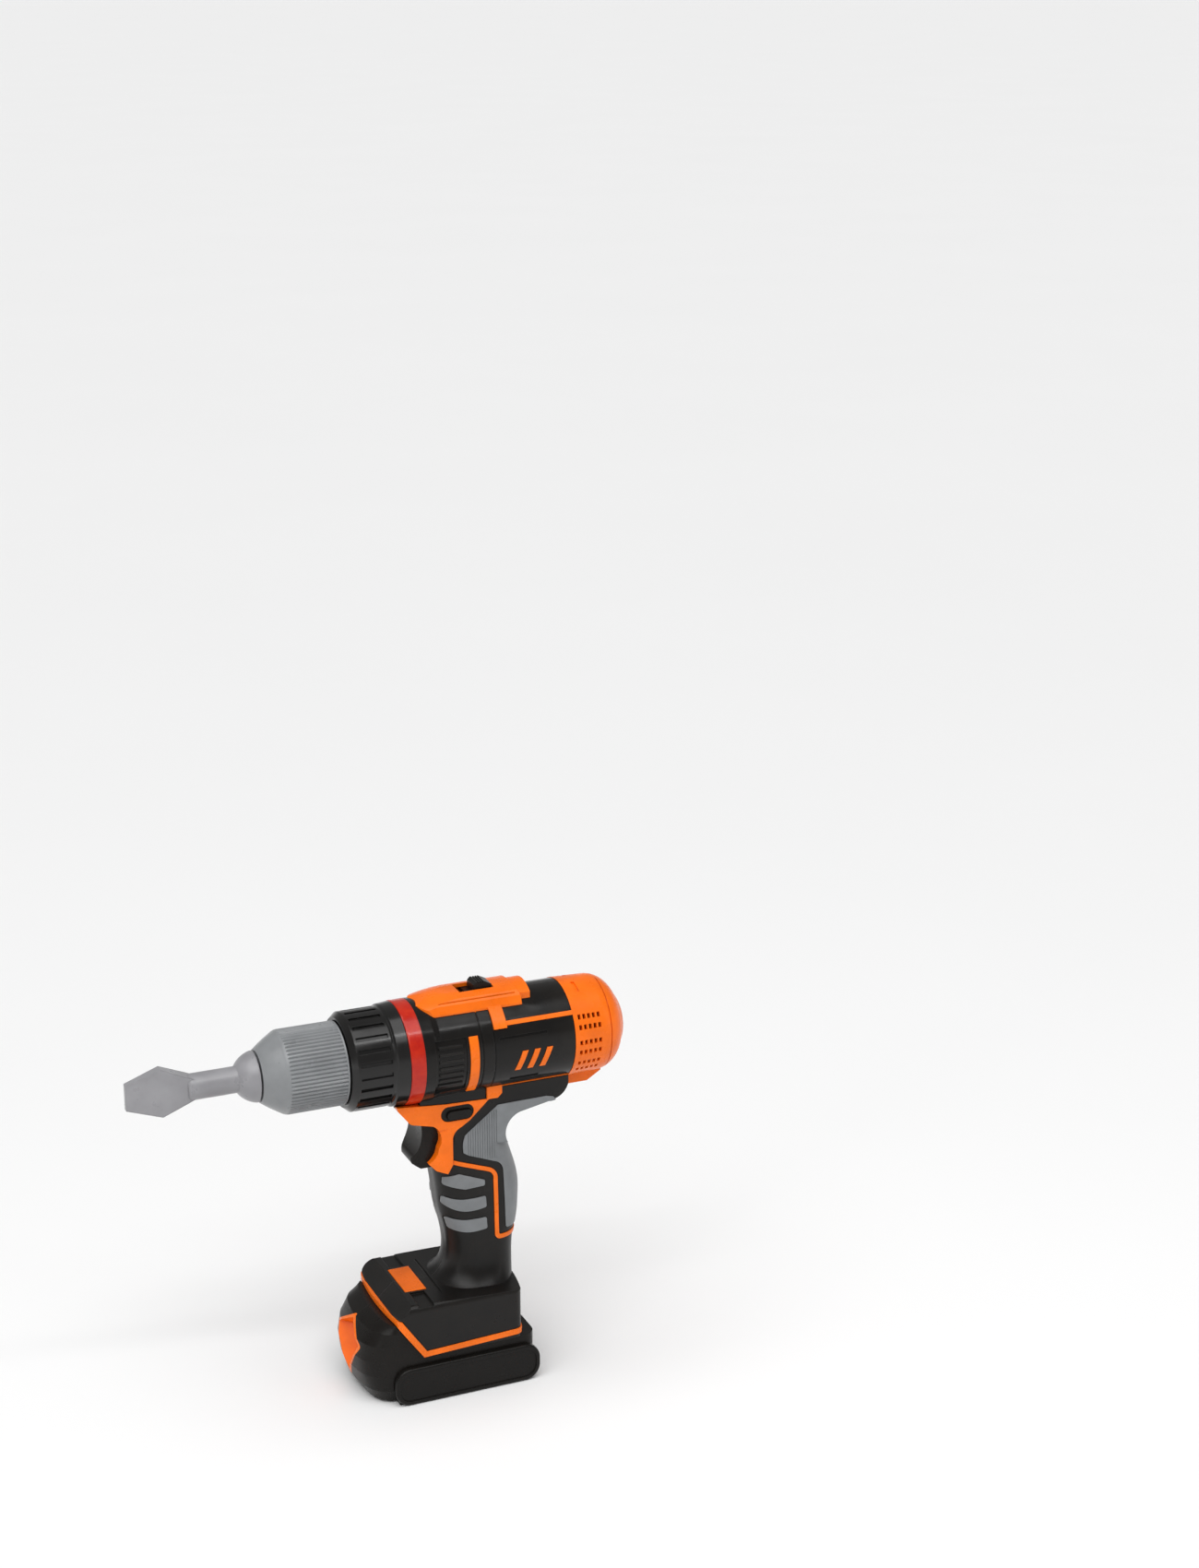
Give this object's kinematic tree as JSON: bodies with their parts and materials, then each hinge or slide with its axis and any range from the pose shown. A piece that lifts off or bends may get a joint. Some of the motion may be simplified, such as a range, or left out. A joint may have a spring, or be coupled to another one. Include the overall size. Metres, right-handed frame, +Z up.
{
  "type": "toy power drill",
  "caption": "Pistol-grip toy power drill with a turning chuck, flat bit, turning collar, trigger and slide-off battery pack.",
  "frame": {"origin": "centre of the battery pack's underside, on the table and on the drill's middle plane", "axes": "-X along the bit, +Z up from the table to the barrel, +Y to the drill's right-hand side as held"},
  "size_m": [0.2733, 0.068, 0.2246],
  "materials": {
    "gloss_black": "polished",
    "orange_plastic": "satin",
    "grey_soft": "matte",
    "black_rubber": "matte",
    "chuck_grey": "satin",
    "bit_grey": "satin",
    "ring_red": "translucent",
    "steel": "brushed",
    "brass": "satin",
    "white_plastic": "satin",
    "board_green": "matte",
    "dark_plastic": "matte",
    "led_clear": "clear",
    "copper_winding": "satin",
    "paper": "matte",
    "cell_jacket": "satin"
  },
  "bodies": {
    "housing": {"housing_left": "gloss_black", "housing_right": "gloss_black", "housing_screws": "steel", "grip_back": "grey_soft", "grip_inserts": "grey_soft", "grip_trims": "orange_plastic", "foot_stripe": "orange_plastic", "side_bars": "orange_plastic", "side_lines": "orange_plastic", "side_clips": "orange_plastic", "side_badges": "orange_plastic", "top_cover": "orange_plastic", "rear_cap": "orange_plastic", "trigger_bezel": "orange_plastic", "button_plates": "dark_plastic", "light_ring": "ring_red", "light_board": "board_green", "light_leds": "led_clear", "click_spring": "steel", "gearbox_case": "white_plastic", "gearbox_cover": "white_plastic", "spindle_bushes": "brass", "compound_axle": "steel", "motor_can": "steel", "motor_end": "white_plastic", "motor_terminals": "brass", "trigger_switch": "dark_plastic", "trigger_spring": "steel", "direction_switch": "dark_plastic", "circuit_board": "board_green", "board_parts": "dark_plastic", "speaker": "dark_plastic", "speaker_cone": "paper", "release_spring": "steel", "foot_terminals": "dark_plastic", "foot_blades": "brass"},
    "chuck": {"chuck_sleeve": "chuck_grey", "chuck_core": "steel", "spindle": "steel", "spindle_gear": "white_plastic"},
    "bit": {"flat_bit": "bit_grey"},
    "collar": {"torque_collar": "gloss_black"},
    "middle_gear": {"compound_gear": "white_plastic"},
    "motor_rotor": {"motor_armature": "copper_winding", "motor_pinion": "brass"},
    "trigger_lever": {"trigger": "dark_plastic"},
    "selector": {"speed_selector": "dark_plastic"},
    "reverser": {"reversing_button": "dark_plastic"},
    "release": {"release_button": "orange_plastic"},
    "battery_pack": {"pack_left": "dark_plastic", "pack_right": "dark_plastic", "pack_pads": "black_rubber", "finger_pull": "orange_plastic", "cell_door": "dark_plastic", "door_screw": "steel", "cell_tray": "dark_plastic", "cells": "cell_jacket", "cell_contacts": "steel", "pack_contacts": "brass"}
  },
  "joints": [
    {"name": "chuck_spin", "type": "hinge", "parent": "housing", "child": "chuck", "pos_m": [-0.08, 0, 0.19], "axis": [-1, 0, 0], "continuous": true},
    {"name": "middle_gear_spin", "type": "hinge", "parent": "housing", "child": "middle_gear", "pos_m": [-0.012, 0, 0.178], "axis": [-1, 0, 0], "continuous": true},
    {"name": "motor_spin", "type": "hinge", "parent": "housing", "child": "motor_rotor", "pos_m": [0.01, 0, 0.19], "axis": [-1, 0, 0], "continuous": true},
    {"name": "bit_pull", "type": "slide", "parent": "chuck", "child": "bit", "axis": [-1, 0, 0], "range_m": [0, 0.026]},
    {"name": "collar_turn", "type": "hinge", "parent": "housing", "child": "collar", "pos_m": [-0.043, 0, 0.19], "axis": [-1, 0, 0], "continuous": true},
    {"name": "trigger_pull", "type": "slide", "parent": "housing", "child": "trigger_lever", "axis": [1, 0, 0], "range_m": [0, 0.006], "stiffness_N_per_m": 300, "springref_m": -0.002, "deforming": ["trigger_spring"]},
    {"name": "selector_slide", "type": "slide", "parent": "housing", "child": "selector", "axis": [-1, 0, 0], "range_m": [0, 0.008]},
    {"name": "reverser_push", "type": "slide", "parent": "housing", "child": "reverser", "axis": [0, 1, 0], "range_m": [-0.0015, 0.0015]},
    {"name": "release_press", "type": "slide", "parent": "housing", "child": "release", "axis": [0, 0, -1], "range_m": [0, 0.0015], "stiffness_N_per_m": 300, "springref_m": -0.002, "deforming": ["release_spring"]},
    {"name": "pack_slide", "type": "slide", "parent": "housing", "child": "battery_pack", "axis": [-1, 0, 0], "range_m": [0, 0.085]}
  ],
  "couplings": [
    {"joint": "middle_gear_spin", "follows": "chuck_spin", "ratio": -3},
    {"joint": "motor_spin", "follows": "chuck_spin", "ratio": 11.4}
  ]
}
